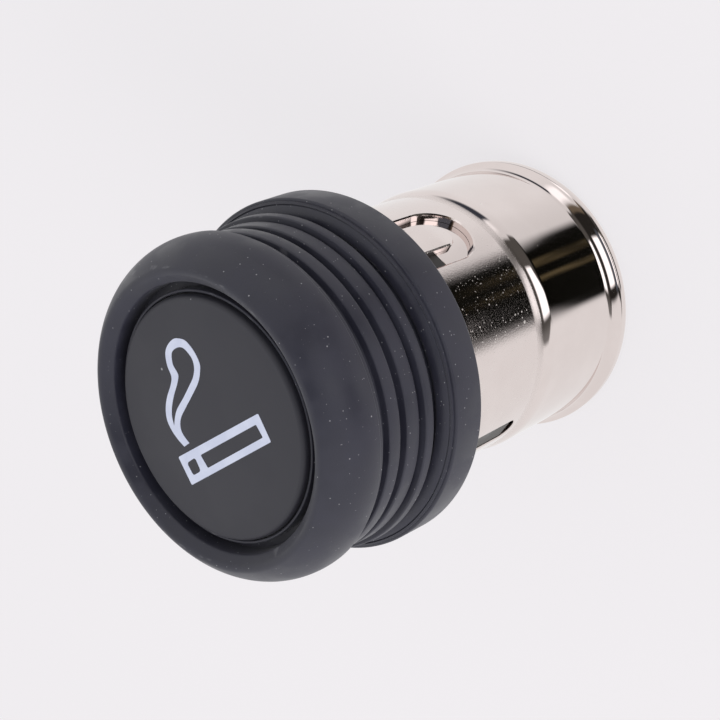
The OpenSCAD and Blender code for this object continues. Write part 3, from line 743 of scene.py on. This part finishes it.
# Studio
class Room(Graph):
    """World nodes in degrees: side is measured round from the lens, up is the height of the direction."""

    def __init__(self, tree):
        super().__init__(tree)
        place = self.node('ShaderNodeTexCoord').outputs["Generated"]
        x, y, z = self.node('ShaderNodeSeparateXYZ', {"Vector": place}).outputs
        round_lens = self.math('ARCTAN2', self.times(x, -1.0), self.times(y, -1.0))
        self.side = self.times(round_lens, math.degrees(1))
        self.up = self.times(self.math('ARCSINE', z), math.degrees(1))

    def patch(self, left, right, low, high, soft_side=2.0, soft_up=2.0):
        """A four-sided patch with soft edges."""
        return self.times(self.band(self.side, left, right, soft_side, soft_side),
                          self.band(self.up, low, high, soft_up, soft_up))

    def stepped(self, below, above):
        """One value low down, where the barrel and neck mirror, and another above, for shoulder and flare."""
        return self.ramp(self.up, -49.0, -46.0, below, above)

    def after(self, value, at, soft):
        """One past a place that a node gives, with a soft edge."""
        return self.ramp(value, self.minus(at, soft), self.plus(at, soft))

    def before(self, value, at, soft):
        """One before such a place."""
        return self.ramp(value, self.minus(at, soft), self.plus(at, soft), 1.0, 0.0)


def dark_column(room):
    """Mask of the dark column: crisp for the barrel, soft for the neck, wider for the shoulder."""
    times, plus, minus, ramp, side, up = room.times, room.plus, room.minus, room.ramp, room.side, room.up
    barrel = ramp(up, -53.6, -52.8, 1.0, 0.0)
    waist = room.band(up, -38.0, -10.0, 8.0, 4.0)
    notch = room.band(up, -33.0, -16.0, 3.0, 4.0)
    left = plus(minus(room.stepped(-33.0, -41.0), times(barrel, 3.5)), times(notch, 4.0))
    left_soft = minus(room.stepped(9.0, 2.5), times(barrel, 4.0))
    right = plus(plus(room.stepped(32.0, 34.0), times(barrel, 2.5)), times(waist, 11.0))
    right_soft = minus(room.stepped(10.0, 3.0), times(barrel, 6.5))
    column = times(room.after(side, left, left_soft), room.before(side, right, right_soft))
    shade = times(ramp(side, -80.0, -32.0), ramp(side, 30.0, 42.0, 1.0, 0.0))
    return times(ramp(up, -57.5, -56.0), plus(times(column, 0.85), times(shade, 0.15)))


def column_tone(room):
    """The column's colour: near black for barrel and neck, greyer for the shoulder, warm streaks low down."""
    side, up = room.side, room.up
    tone = room.mix(room.ramp(up, -48.0, -43.0), (0.004, 0.004, 0.003), (0.09, 0.086, 0.08))
    tone = room.mix(room.ramp(up, -24.0, -8.0), tone, (0.022, 0.02, 0.018))
    warm_edge = room.times(room.band(side, -42.0, -34.0), room.ramp(up, -20.0, -5.0))
    tone = room.mix(warm_edge, tone, (0.15, 0.12, 0.085))
    rows = room.node('ShaderNodeCombineXYZ', {0: side, 1: room.times(up, 9.0)}).outputs[0]
    patchy = room.node('ShaderNodeTexNoise', {"Vector": rows, "Scale": 0.11, "Detail": 2.0}).outputs[0]
    streaks = room.times(room.ramp(patchy, 0.36, 0.66, 0.1, 1.3), room.plus(
        room.patch(-18.0, -12.0, -60.0, -52.6, 2.5), room.patch(-3.0, 1.5, -60.0, -52.6)), clamp=True)
    tone = room.mix(streaks, tone, (0.12, 0.095, 0.05))
    return room.mix(room.patch(-18.0, 30.0, 38.0, 70.0, 4.0, 3.0), tone, (0.1, 0.115, 0.14))


def bright_boxes(room):
    """Mask of the two bright boxes in the column, the lower one with a slanting lower edge."""
    slant = room.ramp(room.side, -12.0, 12.0, -38.0, -47.0)
    height = room.times(room.after(room.up, slant, 2.0), room.ramp(room.up, -25.0, -21.0, 1.0, 0.0))
    lower = room.times(room.band(room.side, -12.0, 27.0, 2.0, 3.0), height)
    return room.plus(lower, room.patch(-13.0, 24.0, 1.0, 36.0, 2.0, 4.0), clamp=True)


def studio_world():
    """Soft white room; what the plating mirrors has a dark column with two bright boxes on the lens side."""
    world = bpy.data.worlds.new("studio")
    bpy.context.scene.world = world
    world.use_nodes = True
    room = Room(world.node_tree)
    background = world.node_tree.nodes["Background"]
    mirrored = room.mix(dark_column(room), (0.9, 0.9, 0.905), column_tone(room))
    mirrored = room.mix(bright_boxes(room), mirrored, (1.6, 1.6, 1.62))
    wing = room.patch(-60.0, -45.0, -22.0, 30.0, 4.0, 8.0)
    mirrored = room.mix(wing, mirrored, (1.4, 1.4, 1.42))
    # Dark screen on the left, seen only in a narrow band of heights
    screen = room.times(room.ramp(room.side, -112.0, -82.0), room.ramp(room.side, -60.0, -55.0, 1.0, 0.0))
    screen = room.times(screen, room.band(room.up, -31.0, -17.0, 3.0, 3.0))
    mirrored = room.mix(screen, mirrored, (0.045, 0.05, 0.065))
    path = room.node('ShaderNodeLightPath').outputs
    lit = room.mix(path["Is Glossy Ray"], (0.76, 0.76, 0.77), mirrored)
    seen = room.math('MAXIMUM', path["Is Camera Ray"], path["Is Transmission Ray"])
    room.tree.links.new(room.mix(seen, lit, (0.87, 0.855, 0.88)), background.inputs["Color"])
    background.inputs["Strength"].default_value = 1.0


def studio_floor():
    """A round sheet of pale paper that catches the shadow and keeps its brightness for the camera."""
    bm = bmesh.new()
    bmesh.ops.create_circle(bm, cap_ends=True, segments=64, radius=0.9)
    floor = piece_from(bm, "floor", None)
    floor.visible_glossy = False
    material, g, shader = finish_of("paper", roughness=0.9)
    shader["Base Color"].default_value = (0.86, 0.78, 0.81, 1)
    shader["Specular IOR Level"].default_value = 0.0
    nodes = material.node_tree.nodes
    glow = g.node('ShaderNodeEmission', {"Color": (0.91, 0.905, 0.925, 1), "Strength": 1.0})
    share = g.times(g.node('ShaderNodeLightPath').outputs["Is Camera Ray"], 0.72)
    paper = nodes["Principled BSDF"].outputs[0]
    mixed = g.node('ShaderNodeMixShader', {0: share, 1: paper, 2: glow.outputs[0]})
    g.tree.links.new(mixed.outputs[0], nodes["Material Output"].inputs[0])
    wear(floor, material)


def softbox(name, direction, distance, size, watts, aim=(0, 0, 0.018)):
    """A round lamp aimed at the object's middle; the plating mirrors the painted room and not the lamp."""
    light = bpy.data.lights.new(name, 'AREA')
    light.shape, light.size, light.energy = 'DISK', size, watts
    lamp = bpy.data.objects.new(name, light)
    bpy.context.scene.collection.objects.link(lamp)
    lamp.location = Vector(aim) + Vector(direction).normalized() * distance
    lamp.rotation_euler = (Vector(aim) - lamp.location).to_track_quat('-Z', 'Y').to_euler()
    lamp.visible_glossy = False


def camera():
    """The camera, matched to the photo."""
    lens = bpy.data.cameras.new("camera")
    lens.lens, lens.sensor_width, lens.clip_start = LENS, SENSOR, 0.005
    view = bpy.data.objects.new("camera", lens)
    bpy.context.scene.collection.objects.link(view)
    view.matrix_world = Matrix.Translation(CAMERA_PLACE) @ Matrix(CAMERA_AXES).to_4x4()
    bpy.context.scene.camera = view


GRAIN, DUST = grain_effect(), dust_effect()
finishes = dress()
for made, finish in ((outer_sleeve(), "nickel"), (knob_grip(), "soft_black"), (knob_cap(), "cap_black"),
                     (spring_cup(), "nickel"), (guide_bush(), "bush_black"),
                     (pop_spring(), "spring_steel"), (heating_coil(), "coil_alloy"),
                     *((piece, "cap_print") for piece in cap_symbol())):
    wear(made, finishes[finish])
studio_world()
studio_floor()
softbox("side softbox", (-0.72, -0.52, 0.37), distance=0.5, size=0.35, watts=1.2)
camera()
bpy.context.scene.view_settings.view_transform = 'Standard'
